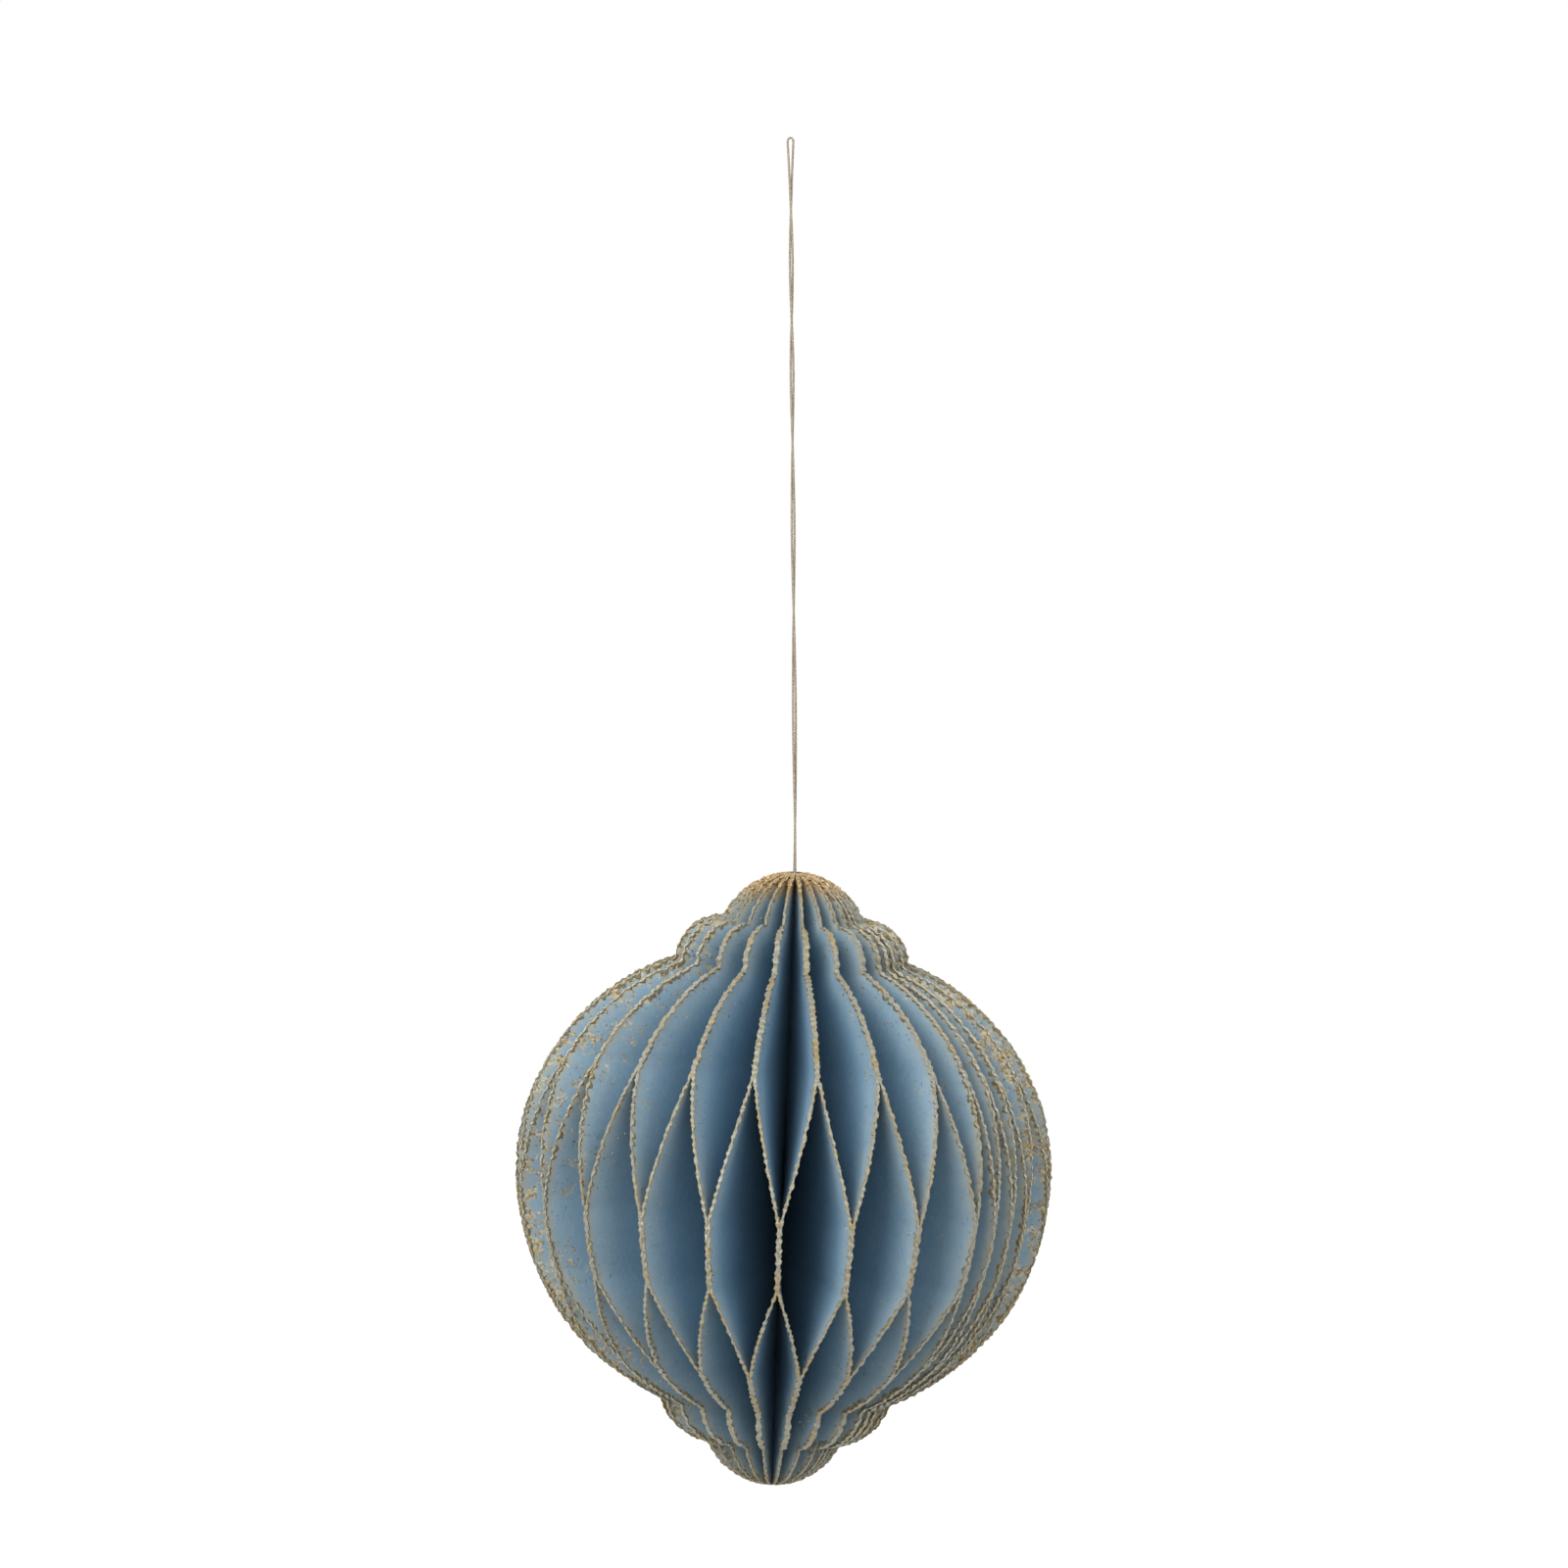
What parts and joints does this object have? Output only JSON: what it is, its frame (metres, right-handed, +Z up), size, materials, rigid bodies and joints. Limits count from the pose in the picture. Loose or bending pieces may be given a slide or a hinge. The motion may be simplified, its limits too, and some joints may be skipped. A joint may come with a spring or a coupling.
{
  "type": "honeycomb paper ball ornament",
  "caption": "Hanging lantern-shaped ball of stepped paper leaves, glued in turn so that they open into tall cells, on a doubled cord loop.",
  "frame": {"origin": "where a hook bears, inside the top of the hanging loop", "axes": "+Z up, against the pull of the hung body; the side seen in front faces -Y, and +X is to its right"},
  "size_m": [0.1494, 0.1494, 0.3771],
  "materials": {
    "leaf_paper": "matt dyed card",
    "gilt_edge": "coarse metallic glitter",
    "metallic_cord": "metallic wrapped thread"
  },
  "bodies": {
    "root": {"leaf_01": "leaf_paper", "leaf_02": "leaf_paper", "leaf_03": "leaf_paper", "leaf_04": "leaf_paper", "leaf_05": "leaf_paper", "leaf_06": "leaf_paper", "leaf_07": "leaf_paper", "leaf_08": "leaf_paper", "leaf_09": "leaf_paper", "leaf_10": "leaf_paper", "leaf_11": "leaf_paper", "leaf_12": "leaf_paper", "leaf_13": "leaf_paper", "leaf_14": "leaf_paper", "leaf_15": "leaf_paper", "leaf_16": "leaf_paper", "leaf_17": "leaf_paper", "leaf_18": "leaf_paper", "leaf_19": "leaf_paper", "leaf_20": "leaf_paper", "leaf_21": "leaf_paper", "leaf_22": "leaf_paper", "leaf_23": "leaf_paper", "leaf_24": "leaf_paper", "leaf_25": "leaf_paper", "leaf_26": "leaf_paper", "leaf_27": "leaf_paper", "leaf_28": "leaf_paper", "leaf_29": "leaf_paper", "leaf_30": "leaf_paper", "leaf_31": "leaf_paper", "leaf_32": "leaf_paper", "leaf_33": "leaf_paper", "leaf_34": "leaf_paper", "leaf_35": "leaf_paper", "leaf_36": "leaf_paper", "leaf_37": "leaf_paper", "leaf_38": "leaf_paper", "leaf_39": "leaf_paper", "leaf_40": "leaf_paper", "leaf_41": "leaf_paper", "leaf_42": "leaf_paper", "leaf_43": "leaf_paper", "leaf_44": "leaf_paper", "leaf_45": "leaf_paper", "leaf_46": "leaf_paper", "leaf_47": "leaf_paper", "leaf_48": "leaf_paper", "leaf_49": "leaf_paper", "leaf_50": "leaf_paper", "hanging_cord": "metallic_cord", "cord_knot": "metallic_cord"}
  },
  "joints": []
}
